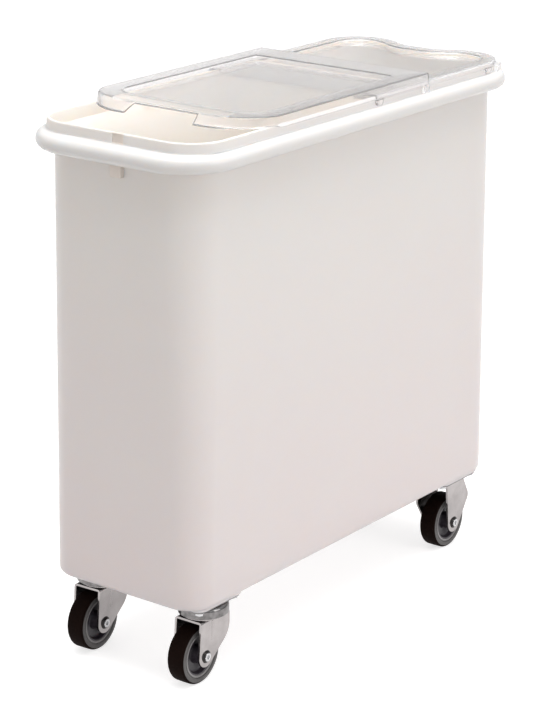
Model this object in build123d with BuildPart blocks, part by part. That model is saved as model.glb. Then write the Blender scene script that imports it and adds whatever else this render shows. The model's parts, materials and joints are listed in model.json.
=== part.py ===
"""Mobile ingredient bin: a white moulded tub on four casters with a two-piece clear sliding lid.

Frame: X across the width, Y along the length, Z up. The origin is on the floor under the middle of
the tub. The sliding front lid is at the -Y end. All sizes are in millimetres.
"""
from build123d import *
import math
import os

os.makedirs("parts", exist_ok=True)

# Wheels
wheel_radius = 40.0
tyre_width = 26.0
tyre_thickness = 11.0
tyre_shoulder_width = 4.0
tyre_shoulder_drop = 4.0
hub_length = 35.8
hub_barrel_radius = 11.0
hub_rim_thickness = 3.4
hub_rim_width = 24.0
hub_web_thickness = 7.0

# Axles
axle_radius = 4.0
axle_hole_clearance = 0.06
sleeve_thickness = 2.4
sleeve_clearance = 0.06
axle_head_radius = 7.5
axle_head_height = 3.6
axle_head_bevel = 2.2
axle_socket_flats = 5.0
axle_socket_depth = 2.0
axle_nut_flats = 13.0
axle_nut_height = 6.4
axle_thread_spare = 2.0

# Caster forks, stamped from sheet steel
fork_sheet = 3.0
fork_gap = 37.0
fork_end_radius = 14.5
swivel_trail = 22.0
swivel_bridge_front = 32.0
swivel_leg_rear = 28.6
swivel_leg_round = 29.0
swivel_leg_round_drop = 15.8
swivel_bend_radius = 4.0
dish_radius = 30.5
dish_rise = 4.7
dish_edge_bevel = 2.0
rigid_leg_reach = 37.0
rigid_leg_round = 12.0
rigid_leg_drop = 34.0
rigid_flange_length = 40.0

# Swivel bearing
kingpin_radius = 5.5
kingpin_clearance = 0.06
kingpin_head_radius = 9.0
kingpin_head_height = 4.0
kingpin_head_gap = 0.3
kingpin_head_bevel = 1.0
ball_radius = 3.2
ball_ring_radius = 25.5
ball_ring_sides = 6
ball_clearance = 0.1
ball_drop_in_dish = 0.5
ball_top_gap = 0.3
race_radius = 34.0
race_depth = 6.6
race_flange_depth = 15.0
race_sheet = 2.5
race_bevel = 6.0
race_inner_bevel = 2.6

# Caster plates
caster_height = 111.0
plate_thickness = 3.0
plate_width = 60.0
plate_length = 88.0
plate_corner_radius = 10.0

# Caster places on the tub
caster_side_inset = 38.5
front_caster_inset = 66.5
rear_axle_inset = 66.7
rear_plate_shift = 2.0
front_right_turn = 1.2
front_left_turn = 3.0

# Tub
tub_width = 251.0
tub_length = 699.0
tub_corner_radius = 47.0
tub_height = 577.5
tub_draft = 0.05
tub_wall = 4.0
tub_floor = 5.0
tub_bottom_round = 9.0
tub_inner_bevel = 8.0
pad_height = 3.0
pad_margin = 2.5
pad_inset = 1.5

# Rim: a rounded bead round the top of the tub, with a raised lip inside it
bead_reach = 23.8
bead_height = 23.0
bead_corner_radius = 81.0
bead_top_round = 12.0
bead_bottom_round = 9.5
lip_reach = 10.9
lip_end_reach = 1.1
lip_corner_radius = 54.0
lip_rear_setback = 7.0
lip_lean = 0.8
lip_height = 14.0
lip_wall = 3.8
lip_bevel = 1.0
ledge_thickness = 4.0
scallop_depth = 23.2
scallop_flat = 9.0
scallop_land = 2.0

# Marks on the front end of the tub
mark_width = 18.0
mark_offset = 9.5
mark_recess_depth = 1.6
mark_recess_margin = 1.5
block_height = 18.0
block_depth = 7.0
block_round = 1.5

# Rear lid
lid_sheet = 2.5
rear_lid_front = 15.0
rear_lid_lip_gap = 0.5
rear_lid_top_gap = 0.2
rear_lid_edge_round = 4.5
rear_lid_inner_bevel = 1.2
rear_lid_skirt_depth = 8.0
rear_lid_band = 20.5
rear_lid_pan_depth = 6.0
lid_pan_draft = 18.0
tongue_length = 7.6
tongue_root_width = 18.0
tongue_end_width = 13.0
tongue_end_round = 5.0
rear_tongue_inset = 62.5
rear_tab_reach = 8.0
rear_tab_width = 14.0
rear_tab_angle = 17.0
rear_tab_drop = 11.0
rear_tab_step = 2.7

# Front lid, in the place where the photograph shows it
front_lid_rear = 136.0
front_lid_front = 264.0
front_lid_lean = 21.0
front_lid_side_lean = 1.6
front_lid_rise = 11.0
front_lid_corner_radius = 50.0
front_skirt_corner_radius = 79.0
front_lid_edge_round = 2.6
front_lid_side_gap = 0.7
front_lid_side_band = 26.5
front_lid_front_band = 33.0
front_lid_rear_band = 46.0
front_lid_pan_gap = 0.6
front_lid_pan_corner = 26.0
front_lid_pan_rear_corner = 7.0
skirt_lip_gap = 0.4
side_skirt_drop = 2.6
side_skirt_start = 196.0
side_skirt_ramp = 8.0
notch_width = 112.0
notch_top_width = 102.0
notch_rise = 10.0
notch_round = 4.0
foot_length = 12.0
foot_gap = 0.5
foot_toe = 2.4
foot_overlap = 0.5
rear_corner_chamfer = 2.0

# Sizes that follow from the ones above
caster_spread_x = tub_width / 2 - caster_side_inset
front_caster_y = tub_length / 2 - front_caster_inset
rear_axle_y = tub_length / 2 - rear_axle_inset
plate_bottom = caster_height - plate_thickness
tub_bottom = caster_height + pad_height
bead_bottom = tub_bottom + tub_height
bead_top = bead_bottom + bead_height
lip_top = bead_top + lip_height
rim_growth = tub_height * math.tan(math.radians(tub_draft))
rim_half_width = tub_width / 2 + rim_growth
rim_half_length = tub_length / 2 + rim_growth
lip_half_width = rim_half_width + lip_reach
lip_half_length = rim_half_length + lip_end_reach

leg_outside = fork_gap / 2 + fork_sheet
race_underside = plate_bottom - race_depth
race_flange_bottom = plate_bottom - race_flange_depth
ball_level = race_underside - ball_top_gap - ball_radius
dish_top = ball_level - ball_radius + ball_drop_in_dish
dish_underside = dish_top - fork_sheet
swivel_bridge_height = dish_top - dish_rise
hub_rim_radius = wheel_radius - tyre_thickness
sleeve_radius = axle_radius + axle_hole_clearance + sleeve_thickness

rear_lid_top = lip_top + rear_lid_top_gap + lid_sheet
rear_lid_bottom = rear_lid_top - rear_lid_skirt_depth
rear_lid_growth = rear_lid_lip_gap + lid_sheet
rear_lid_half_width = lip_half_width + rear_lid_growth
rear_tongue_y = tub_length / 2 - rear_tongue_inset
pan_slope = math.tan(math.radians(lid_pan_draft))
pan_growth = rear_lid_growth - rear_lid_band
pan_under_drop = rear_lid_pan_depth + lid_sheet

front_lid_top = rear_lid_top + front_lid_rise
front_lid_pan_bottom = rear_lid_top + front_lid_pan_gap
front_lid_pan_top = front_lid_pan_bottom + lid_sheet
front_skirt_bottom = lip_top + skirt_lip_gap
side_skirt_bottom = front_skirt_bottom - side_skirt_drop
skirt_half_width = rear_lid_half_width + front_lid_side_gap + lid_sheet
front_skirt_slope = front_lid_lean / (front_lid_top - front_skirt_bottom)
side_skirt_slope = front_lid_side_lean / (front_lid_top - side_skirt_bottom)
front_corner_slope = (front_skirt_corner_radius - front_lid_corner_radius) / (
    front_lid_top - front_skirt_bottom
)
front_skirt_inset = lid_sheet * math.sqrt(1 + front_skirt_slope**2)


def tub_outline(level, growth):
    """The walls of the tub at one level, moved out by growth."""
    spread = rim_growth * (level - tub_bottom) / tub_height + growth
    with BuildSketch(Plane.XY.offset(level)) as outline:
        RectangleRounded(tub_width + 2 * spread, tub_length + 2 * spread, tub_corner_radius + spread)
    return outline.sketch


def rim_outline(level, growth):
    """The outline that the lip and the rear lid share, with the curved scallop at the rear end."""
    corner_x = lip_half_width - lip_corner_radius
    rear_edge = lip_half_length - lip_rear_setback
    front_corner_y = lip_corner_radius - lip_half_length
    rear_corner_y = rear_edge - lip_corner_radius
    bend_start = corner_x - scallop_land
    bend_run = bend_start - scallop_flat
    bend_radius = (bend_run**2 + scallop_depth**2) / (4 * scallop_depth)
    bend_angle = math.degrees(2 * math.atan(scallop_depth / bend_run))
    front = -lip_half_length - growth
    rear = rear_edge + growth
    side = lip_half_width + growth
    corner = lip_corner_radius + growth
    outer_bend_y = rear_edge - bend_radius
    inner_bend_y = rear_edge - scallop_depth + bend_radius
    with BuildSketch(Plane.XY.offset(level)) as outline:
        with BuildLine():
            Line((0, front), (corner_x, front))
            CenterArc((corner_x, front_corner_y), corner, -90, 90)
            Line((side, front_corner_y), (side, rear_corner_y))
            CenterArc((corner_x, rear_corner_y), corner, 0, 90)
            Line((corner_x, rear), (bend_start, rear))
            CenterArc((bend_start, outer_bend_y), bend_radius + growth, 90, bend_angle)
            CenterArc((scallop_flat, inner_bend_y), bend_radius - growth, 270, bend_angle)
            Line((scallop_flat, rear - scallop_depth), (0, rear - scallop_depth))
            mirror(about=Plane.YZ)
        make_face()
    return outline.sketch


def front_lid_outline(level, side_inset, front_inset, rear_inset):
    """The front lid seen from above at one level: its front and sides lean out on the way down."""
    drop = front_lid_top - level
    top_half_width = skirt_half_width - front_lid_side_lean
    half_width = top_half_width + side_skirt_slope * drop - side_inset
    front = front_lid_lean - front_lid_front - front_skirt_slope * drop + front_inset
    rear = front_lid_rear - rear_inset
    with BuildSketch(Plane.XY.offset(level)) as outline:
        with Locations((0, (front + rear) / 2)):
            Rectangle(2 * half_width, rear - front)
        corner = front_lid_corner_radius + front_corner_slope * drop - side_inset
        fillet(outline.vertices().group_by(Axis.Y)[0], corner)
        chamfer(outline.vertices().group_by(Axis.Y)[-1], rear_corner_chamfer)
    return outline.sketch


def front_pan_outline(level, growth):
    """The pan of the front lid at one level: its walls draw in on the way down."""
    inset = pan_slope * (front_lid_top - level) - growth
    half_width = skirt_half_width - front_lid_side_lean - front_lid_side_band - inset
    front = front_lid_lean - front_lid_front + front_lid_front_band + inset
    rear = front_lid_rear - front_lid_rear_band - inset
    with BuildSketch(Plane.XY.offset(level)) as outline:
        with Locations((0, (front + rear) / 2)):
            Rectangle(2 * half_width, rear - front)
        fillet(outline.vertices().group_by(Axis.Y)[0], front_lid_pan_corner - inset)
        fillet(outline.vertices().group_by(Axis.Y)[-1], front_lid_pan_rear_corner - inset)
    return outline.sketch


def save(part, name):
    """Label one piece and write it out."""
    part.label = name
    export_step(part, f"parts/{name}.step")


# Places of the four casters: the plate of each, and the side and end it stands at
front_places = [
    Plane(origin=(caster_spread_x, -front_caster_y, 0)),
    Plane(origin=(-caster_spread_x, -front_caster_y, 0)),
]
rear_places = [
    Plane(origin=(caster_spread_x, rear_axle_y + rear_plate_shift, 0)),
    Plane(origin=(-caster_spread_x, rear_axle_y + rear_plate_shift, 0)),
]
plate_centres = [(place.origin.X, place.origin.Y) for place in front_places + rear_places]

# Rounded bead round the top of the tub
with BuildPart() as bead:
    with BuildSketch(Plane.XY.offset(bead_bottom)):
        RectangleRounded(
            2 * (rim_half_width + bead_reach),
            2 * (rim_half_length + bead_reach),
            bead_corner_radius,
        )
    extrude(amount=bead_height)
    fillet(bead.faces().sort_by(Axis.Z)[-1].edges(), bead_top_round)
    fillet(bead.faces().sort_by(Axis.Z)[0].edges(), bead_bottom_round)

# Small block moulded under the bead at the front end
with BuildPart() as front_block:
    with BuildSketch(Plane.XY.offset(bead_bottom - block_height)):
        with Locations((mark_offset, -rim_half_length)):
            Rectangle(mark_width, 2 * block_depth)
    extrude(amount=block_height)
    front_edges = front_block.faces().sort_by(Axis.Y)[0].edges()
    fillet(front_edges.sort_by(Axis.Z)[:-1], block_round)
    split(bisect_by=Plane.XZ.offset(rim_half_length - tub_wall / 2), keep=Keep.TOP)

# Room inside the tub: straight walls, a flare inside the bead, then the mouth inside the lip
with BuildPart() as tub_space:
    loft([tub_outline(tub_bottom + tub_floor, -tub_wall), tub_outline(bead_bottom, -tub_wall)], ruled=True)
    chamfer(tub_space.faces().sort_by(Axis.Z)[0].edges(), tub_inner_bevel)
    with BuildSketch(Plane.XY.offset(bead_top - ledge_thickness)) as flare_end:
        RectangleRounded(
            2 * (lip_half_width - lip_lean - lip_wall),
            2 * (lip_half_length - lip_lean - lip_wall),
            lip_corner_radius - lip_lean - lip_wall,
        )
    loft([tub_outline(bead_bottom, -tub_wall), flare_end.sketch], ruled=True)
    extrude(
        rim_outline(bead_top - ledge_thickness, -lip_lean - lip_wall),
        amount=ledge_thickness + lip_height,
    )

# Tub
with BuildPart() as tub:
    loft([tub_outline(tub_bottom, 0), tub_outline(bead_bottom, 0)], ruled=True)
    fillet(tub.faces().sort_by(Axis.Z)[0].edges(), tub_bottom_round)
    # Pads under the floor for the caster plates, trimmed to the corners of the tub
    with BuildSketch(Plane.XY.offset(caster_height)):
        with Locations(*plate_centres):
            RectangleRounded(
                plate_width + 2 * pad_margin,
                plate_length + 2 * pad_margin,
                plate_corner_radius + pad_margin,
            )
        RectangleRounded(
            tub_width - 2 * pad_inset,
            tub_length - 2 * pad_inset,
            tub_corner_radius - pad_inset,
            mode=Mode.INTERSECT,
        )
    extrude(amount=pad_height + tub_floor)
    # Rim
    add(bead.part)
    add(front_block.part)
    loft([rim_outline(bead_top, 0), rim_outline(lip_top, -lip_lean)], ruled=True)
    add(tub_space.part, mode=Mode.SUBTRACT)
    chamfer(tub.faces().sort_by(Axis.Z)[-1].edges(), lip_bevel)
    # Shallow recess in the front of the lip
    with BuildSketch(Plane.XY.offset(bead_top + mark_recess_margin)):
        with Locations((mark_offset, -lip_half_length)):
            Rectangle(mark_width, 2 * mark_recess_depth)
    extrude(amount=lip_height - 2 * mark_recess_margin, mode=Mode.SUBTRACT)
save(tub.part, "tub")

# Room under the rear lid: over the lip, with the underside of the pan hanging into it
with BuildPart() as rear_lid_space:
    extrude(
        rim_outline(rear_lid_bottom, rear_lid_lip_gap),
        amount=rear_lid_skirt_depth - lid_sheet,
    )
    chamfer(rear_lid_space.faces().sort_by(Axis.Z)[-1].edges(), rear_lid_inner_bevel)
    loft(
        [
            rim_outline(rear_lid_top - pan_under_drop, pan_growth + lid_sheet - pan_slope * pan_under_drop),
            rim_outline(rear_lid_top, pan_growth + lid_sheet),
        ],
        ruled=True,
        mode=Mode.SUBTRACT,
    )

# Tongues at the front and rear of the rear lid's skirt, and the lifting tabs at its rear corners
with BuildPart() as rear_lid_tongues:
    with BuildSketch(Plane.YZ.offset(rear_lid_half_width - lid_sheet)) as tongue:
        with Locations(
            (rear_lid_front + tongue_root_width / 2, rear_lid_bottom),
            (rear_tongue_y, rear_lid_bottom),
        ):
            Polygon(
                (-tongue_root_width / 2, lid_sheet / 2),
                (-tongue_root_width / 2, 0),
                (-tongue_end_width / 2, -tongue_length),
                (tongue_end_width / 2, -tongue_length),
                (tongue_root_width / 2, 0),
                (tongue_root_width / 2, lid_sheet / 2),
                align=None,
            )
        fillet(tongue.vertices().group_by(Axis.Y)[0], tongue_end_round)
    extrude(amount=lid_sheet)
    tab_centre = (lip_half_width - lip_corner_radius, lip_half_length - lip_rear_setback - lip_corner_radius)
    tab_turn = math.radians(rear_tab_angle)
    tab_plane = Plane(
        origin=(tab_centre[0], tab_centre[1], rear_lid_top),
        x_dir=(math.cos(tab_turn), math.sin(tab_turn), 0),
        z_dir=(math.sin(tab_turn), -math.cos(tab_turn), 0),
    )
    tab_root = lip_corner_radius + rear_lid_growth
    tab_end = tab_root + rear_tab_reach
    with BuildSketch(tab_plane):
        Polygon(
            (tab_root - lid_sheet / 2, -rear_tab_step),
            (tab_end, -rear_tab_step),
            (tab_end, -rear_tab_step - rear_tab_drop),
            (tab_end - lid_sheet, -rear_tab_step - rear_tab_drop),
            (tab_end - lid_sheet, -rear_tab_step - lid_sheet),
            (tab_root - lid_sheet / 2, -rear_tab_step - lid_sheet),
            align=None,
        )
    extrude(amount=rear_tab_width / 2, both=True)
    mirror(about=Plane.YZ)

# Rear lid
with BuildPart() as rear_lid:
    extrude(rim_outline(rear_lid_bottom, rear_lid_growth), amount=rear_lid_skirt_depth)
    fillet(rear_lid.faces().sort_by(Axis.Z)[-1].edges(), rear_lid_edge_round)
    loft(
        [
            rim_outline(rear_lid_top - rear_lid_pan_depth, pan_growth - pan_slope * rear_lid_pan_depth),
            rim_outline(rear_lid_top, pan_growth),
        ],
        ruled=True,
        mode=Mode.SUBTRACT,
    )
    add(rear_lid_space.part, mode=Mode.SUBTRACT)
    split(bisect_by=Plane.XZ.offset(-rear_lid_front), keep=Keep.BOTTOM)
    add(rear_lid_tongues.part)
save(rear_lid.part, "rear_lid")

# Room under the front lid, with the underside of the pan hanging into it
with BuildPart() as front_lid_space:
    loft(
        [
            front_lid_outline(side_skirt_bottom, lid_sheet, front_skirt_inset, lid_sheet),
            front_lid_outline(front_lid_top - lid_sheet, lid_sheet, front_skirt_inset, lid_sheet),
        ],
        ruled=True,
    )
    loft(
        [
            front_pan_outline(front_lid_pan_bottom, lid_sheet),
            front_pan_outline(front_lid_top, lid_sheet),
        ],
        ruled=True,
        mode=Mode.SUBTRACT,
    )

# Hooked feet at the rear corners of the front lid, with toes under the rear lid's skirt
with BuildPart() as front_lid_feet:
    foot_bottom = bead_top + foot_gap
    toe_top = rear_lid_bottom - foot_gap
    skirt_inside = skirt_half_width - lid_sheet
    with BuildSketch(Plane.XZ.offset(-front_lid_rear)):
        Polygon(
            (skirt_half_width, side_skirt_bottom + foot_overlap),
            (skirt_half_width, foot_bottom),
            (skirt_inside - foot_toe, foot_bottom),
            (skirt_inside - foot_toe, toe_top),
            (skirt_inside, toe_top),
            (skirt_inside, side_skirt_bottom + foot_overlap),
            align=None,
        )
    extrude(amount=foot_length)
    mirror(about=Plane.YZ)

# Front lid
with BuildPart() as front_lid:
    loft(
        [
            front_lid_outline(side_skirt_bottom, 0, 0, 0),
            front_lid_outline(front_lid_top, 0, 0, 0),
        ],
        ruled=True,
    )
    fillet(front_lid.faces().sort_by(Axis.Z)[-1].edges(), front_lid_edge_round)
    loft(
        [
            front_pan_outline(front_lid_pan_top, 0),
            front_pan_outline(front_lid_top, 0),
        ],
        ruled=True,
        mode=Mode.SUBTRACT,
    )
    add(front_lid_space.part, mode=Mode.SUBTRACT)
    # The skirt is shorter round the front, with a ramp down to the side skirts
    with BuildSketch(Plane.YZ) as skirt_cut:
        Polygon(
            (-2 * front_lid_front, side_skirt_bottom - side_skirt_drop),
            (-2 * front_lid_front, front_skirt_bottom),
            (-side_skirt_start - side_skirt_ramp, front_skirt_bottom),
            (-side_skirt_start, side_skirt_bottom),
            (-side_skirt_start, side_skirt_bottom - side_skirt_drop),
            align=None,
        )
    extrude(amount=skirt_half_width + lid_sheet, both=True, mode=Mode.SUBTRACT)
    # The rear wall stops above the rear lid
    with BuildSketch(Plane.XY.offset(side_skirt_bottom)):
        with Locations((0, front_lid_rear)):
            Rectangle(2 * (skirt_half_width - lid_sheet), 2 * (lid_sheet + foot_length / 2))
    extrude(amount=front_lid_pan_bottom - side_skirt_bottom, mode=Mode.SUBTRACT)
    # Hand notch in the front skirt
    with BuildSketch(Plane.XZ.offset(front_lid_front - front_lid_lean - front_lid_front_band / 2)) as notch:
        with Locations((0, front_skirt_bottom)):
            Polygon(
                (-notch_width / 2 - notch_round, -side_skirt_drop),
                (-notch_width / 2 - notch_round, 0),
                (-notch_width / 2, 0),
                (-notch_top_width / 2, notch_rise),
                (notch_top_width / 2, notch_rise),
                (notch_width / 2, 0),
                (notch_width / 2 + notch_round, 0),
                (notch_width / 2 + notch_round, -side_skirt_drop),
                align=None,
            )
        fillet(notch.vertices().group_by(Axis.Y)[-1], notch_round)
    extrude(amount=front_lid_lean + front_lid_front_band, mode=Mode.SUBTRACT)
    add(front_lid_feet.part)
save(front_lid.part, "front_lid")


def make_plate(place, centre_hole):
    """Caster plate, with a hole for the kingpin where centre_hole is not 0."""
    with BuildPart() as plate:
        with BuildSketch(place.offset(plate_bottom)):
            RectangleRounded(plate_width, plate_length, plate_corner_radius)
            if centre_hole > 0:
                Circle(centre_hole, mode=Mode.SUBTRACT)
        extrude(amount=plate_thickness)
    return plate.part


def across(place):
    """The upright plane through a place that shows it from the front."""
    return Plane(origin=place.origin, x_dir=place.x_dir, z_dir=-place.y_dir)


def axle_plane(place):
    """The upright plane through a place that faces along the axle."""
    return Plane(origin=place.origin, x_dir=place.y_dir, z_dir=place.x_dir)


def make_race(place):
    """Bell-shaped upper race, pressed from sheet and fixed under the plate."""
    with BuildPart() as race:
        with BuildSketch(across(place)) as section:
            hole = kingpin_radius + kingpin_clearance
            Polygon(
                (hole, plate_bottom),
                (race_radius, plate_bottom),
                (race_radius, race_flange_bottom),
                (race_radius - race_sheet, race_flange_bottom),
                (race_radius - race_sheet, race_underside),
                (hole, race_underside),
                align=None,
            )
            chamfer(section.vertices().sort_by_distance((race_radius, plate_bottom))[0], race_bevel)
            chamfer(
                section.vertices().sort_by_distance((race_radius - race_sheet, race_underside))[0],
                race_inner_bevel,
            )
        revolve(axis=Axis(place.origin, place.z_dir))
    return race.part


def make_kingpin(place):
    """Kingpin with its head under the dish of the fork."""
    with BuildPart() as kingpin:
        head_top = dish_underside - kingpin_head_gap
        with BuildSketch(place.offset(head_top - kingpin_head_height)):
            Circle(kingpin_head_radius)
        extrude(amount=kingpin_head_height)
        chamfer(kingpin.faces().sort_by(Axis.Z)[0].edges(), kingpin_head_bevel)
        with BuildSketch(place.offset(head_top)):
            Circle(kingpin_radius)
        extrude(amount=caster_height - head_top)
    return kingpin.part


def make_ball_ring(place):
    """The row of bearing balls in their track, drawn as one ring with a many-sided section."""
    with BuildPart() as balls:
        with BuildSketch(across(place)):
            with Locations((ball_ring_radius, ball_level)):
                RegularPolygon(ball_radius, ball_ring_sides, major_radius=False)
        revolve(axis=Axis(place.origin, place.z_dir))
    return balls.part


def make_swivel_fork(place):
    """Pressed fork: two legs from a bridge, a raised round dish on top with the lower ball track."""
    side = axle_plane(place)
    along = Axis(place.origin, place.y_dir)
    with BuildPart() as fork:
        with BuildSketch(side):
            with Locations((-swivel_trail, wheel_radius)):
                Circle(fork_end_radius)
            with Locations((swivel_leg_rear - swivel_leg_round, swivel_bridge_height - swivel_leg_round_drop)):
                Circle(swivel_leg_round)
            with Locations(((swivel_leg_rear - swivel_bridge_front) / 2, swivel_bridge_height)):
                Rectangle(swivel_leg_rear + swivel_bridge_front, 2 * fork_sheet)
            make_hull()
            with Locations((0, swivel_bridge_height)):
                Rectangle(
                    4 * swivel_leg_round,
                    2 * swivel_leg_round,
                    align=(Align.CENTER, Align.MIN),
                    mode=Mode.SUBTRACT,
                )
        extrude(amount=leg_outside, both=True)
        fillet(fork.edges().filter_by(along).group_by(Axis.Z)[-1], swivel_bend_radius)
        # Space between the legs
        with BuildSketch(across(place)) as gap:
            Rectangle(
                fork_gap,
                swivel_bridge_height - fork_sheet,
                align=(Align.CENTER, Align.MIN),
            )
            fillet(gap.vertices().group_by(Axis.Y)[-1], swivel_bend_radius - fork_sheet)
        extrude(amount=caster_height, both=True, mode=Mode.SUBTRACT)
        # Raised dish, pressed hollow from below
        with BuildSketch(across(place)) as dish:
            with Locations((0, swivel_bridge_height)):
                Rectangle(dish_radius, dish_rise, align=(Align.MIN, Align.MIN))
            chamfer(dish.vertices().sort_by_distance((dish_radius, dish_top))[0], dish_edge_bevel)
        revolve(axis=Axis(place.origin, place.z_dir))
        with BuildSketch(place.offset(swivel_bridge_height - fork_sheet)):
            Circle(dish_radius - fork_sheet)
            Rectangle(fork_gap, 2 * dish_radius, mode=Mode.INTERSECT)
        extrude(amount=dish_underside - swivel_bridge_height + fork_sheet, mode=Mode.SUBTRACT)
        # Ball track
        with BuildSketch(across(place)):
            with Locations((ball_ring_radius, ball_level)):
                RegularPolygon(ball_radius + ball_clearance, ball_ring_sides, major_radius=False)
        revolve(axis=Axis(place.origin, place.z_dir), mode=Mode.SUBTRACT)
        # Hole for the kingpin and for the axle
        with BuildSketch(place.offset(swivel_bridge_height)):
            Circle(kingpin_radius + kingpin_clearance)
        extrude(amount=caster_height - swivel_bridge_height, mode=Mode.SUBTRACT)
        with BuildSketch(side):
            with Locations((-swivel_trail, wheel_radius)):
                Circle(axle_radius + axle_hole_clearance)
        extrude(amount=2 * leg_outside, both=True, mode=Mode.SUBTRACT)
    return fork.part


def make_rigid_fork(place):
    """Pressed fork of a fixed caster: a flange under the plate, and two like legs turned face to face."""
    with BuildPart() as blank:
        for way in (1, -1):
            leg_side = Plane(
                origin=place.origin + place.x_dir * (way * fork_gap / 2),
                x_dir=place.y_dir * way,
                z_dir=place.x_dir * way,
            )
            with BuildSketch(leg_side):
                with Locations((0, wheel_radius)):
                    Circle(fork_end_radius)
                with Locations((rigid_leg_reach - rigid_leg_round, plate_bottom - rigid_leg_drop)):
                    Circle(rigid_leg_round)
                with Locations((0, plate_bottom)):
                    Rectangle(rigid_flange_length, fork_sheet)
                make_hull()
            extrude(amount=fork_sheet)
        with BuildSketch(place.offset(plate_bottom - fork_sheet)):
            Rectangle(fork_gap, rigid_flange_length)
        extrude(amount=fork_sheet)
    with BuildPart() as fork:
        with BuildSketch(across(place)) as bent_sheet:
            Rectangle(2 * leg_outside, plate_bottom, align=(Align.CENTER, Align.MIN))
            fillet(bent_sheet.vertices().group_by(Axis.Y)[-1], swivel_bend_radius)
            Rectangle(
                fork_gap,
                plate_bottom - fork_sheet,
                align=(Align.CENTER, Align.MIN),
                mode=Mode.SUBTRACT,
            )
        extrude(amount=caster_height, both=True)
        add(blank.part, mode=Mode.INTERSECT)
        with BuildSketch(axle_plane(place)):
            with Locations((0, wheel_radius)):
                Circle(axle_radius + axle_hole_clearance)
        extrude(amount=2 * leg_outside, both=True, mode=Mode.SUBTRACT)
    return fork.part


def make_axle_bolt(place):
    """Axle bolt: a low round head with a hexagon socket outside one leg, the thread outside the other."""
    along = axle_plane(place)
    tail_length = 2 * leg_outside + axle_nut_height + axle_thread_spare
    with BuildPart() as bolt:
        with BuildSketch(along.offset(leg_outside)):
            Circle(axle_head_radius)
        extrude(amount=axle_head_height)
        head_rim = bolt.edges().sort_by(Axis(place.origin, place.x_dir))[-1]
        chamfer(head_rim, axle_head_bevel)
        with BuildSketch(along.offset(leg_outside + axle_head_height)):
            RegularPolygon(axle_socket_flats / 2, 6, major_radius=False)
        extrude(amount=-axle_socket_depth, mode=Mode.SUBTRACT)
        with BuildSketch(along.offset(leg_outside)):
            Circle(axle_radius)
        extrude(amount=-tail_length)
    return bolt.part


def make_axle_nut(place):
    """Hexagon nut on the thread of the axle bolt."""
    with BuildPart() as nut:
        with BuildSketch(axle_plane(place).offset(-leg_outside - axle_nut_height)):
            RegularPolygon(axle_nut_flats / 2, 6, major_radius=False)
            Circle(axle_radius + axle_hole_clearance, mode=Mode.SUBTRACT)
        extrude(amount=axle_nut_height)
    return nut.part


def make_axle_sleeve(place):
    """Tube on the axle bolt between the legs: the wheel turns on it, and the nut clamps it."""
    with BuildPart() as sleeve:
        with BuildSketch(axle_plane(place)):
            Circle(sleeve_radius)
            Circle(axle_radius + axle_hole_clearance, mode=Mode.SUBTRACT)
        extrude(amount=fork_gap / 2, both=True)
    return sleeve.part


def make_hub(place):
    """Moulded wheel hub: a barrel, a flat web and a rim, turned about the axle."""
    bore = sleeve_radius + sleeve_clearance
    with BuildPart() as hub:
        with BuildSketch(across(place)):
            with Locations((0, bore)):
                Rectangle(hub_length, hub_barrel_radius - bore, align=(Align.CENTER, Align.MIN))
                Rectangle(hub_web_thickness, hub_rim_radius - bore, align=(Align.CENTER, Align.MIN))
            with Locations((0, hub_rim_radius)):
                Rectangle(hub_rim_width, hub_rim_thickness, align=(Align.CENTER, Align.MAX))
        revolve(axis=Axis(place.origin, place.x_dir))
    return hub.part


def make_tyre(place):
    """Tyre on the hub's rim, with sloping shoulders beside a flat tread."""
    with BuildPart() as tyre:
        with BuildSketch(across(place)) as section:
            with Locations((0, hub_rim_radius)):
                Rectangle(tyre_width, tyre_thickness, align=(Align.CENTER, Align.MIN))
            tread_corners = section.vertices().group_by(Axis.Y)[-1]
            chamfer(tread_corners, tyre_shoulder_drop, tyre_shoulder_width)
        revolve(axis=Axis(place.origin, place.x_dir))
    return tyre.part


def save_wheel_set(name, axle_place):
    """Write the pieces that sit on one axle."""
    save(make_axle_bolt(axle_place), f"{name}_axle_bolt")
    save(make_axle_nut(axle_place), f"{name}_axle_nut")
    save(make_axle_sleeve(axle_place), f"{name}_axle_sleeve")
    save(make_hub(axle_place), f"{name}_wheel_hub")
    save(make_tyre(axle_place), f"{name}_tyre")


# Front casters: the wheel trails to the front of each kingpin, turned a little to one side
for name, place, turn in zip(
    ("front_right", "front_left"), front_places, (front_right_turn, front_left_turn)
):
    kingpin_hole = kingpin_radius + kingpin_clearance
    save(make_plate(place, kingpin_hole), f"{name}_caster_plate")
    save(make_race(place), f"{name}_upper_race")
    save(make_kingpin(place), f"{name}_kingpin")
    turned = place.rotated((0, 0, turn))
    save(make_ball_ring(turned), f"{name}_ball_ring")
    save(make_swivel_fork(turned), f"{name}_fork")
    wheel_centre = turned.origin - turned.y_dir * swivel_trail + turned.z_dir * wheel_radius
    save_wheel_set(name, Plane(origin=wheel_centre, x_dir=turned.x_dir, z_dir=turned.z_dir))

# Rear casters are fixed and point straight along the tub
for name, place in zip(("rear_right", "rear_left"), rear_places):
    save(make_plate(place, 0), f"{name}_caster_plate")
    axle_foot = Plane(origin=(place.origin.X, rear_axle_y, 0))
    save(make_rigid_fork(axle_foot), f"{name}_fork")
    save_wheel_set(name, axle_foot.offset(wheel_radius))
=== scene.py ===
"""Looks of the mobile ingredient bin: a white moulded tub on four casters with a clear sliding lid.

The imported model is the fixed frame, and every piece below rides on one of its bodies. Lengths are
in metres, written as millimetres times mm.
"""
import json
import math

import bmesh
import bpy
import numpy as np
from mathutils import Matrix, Vector


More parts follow.
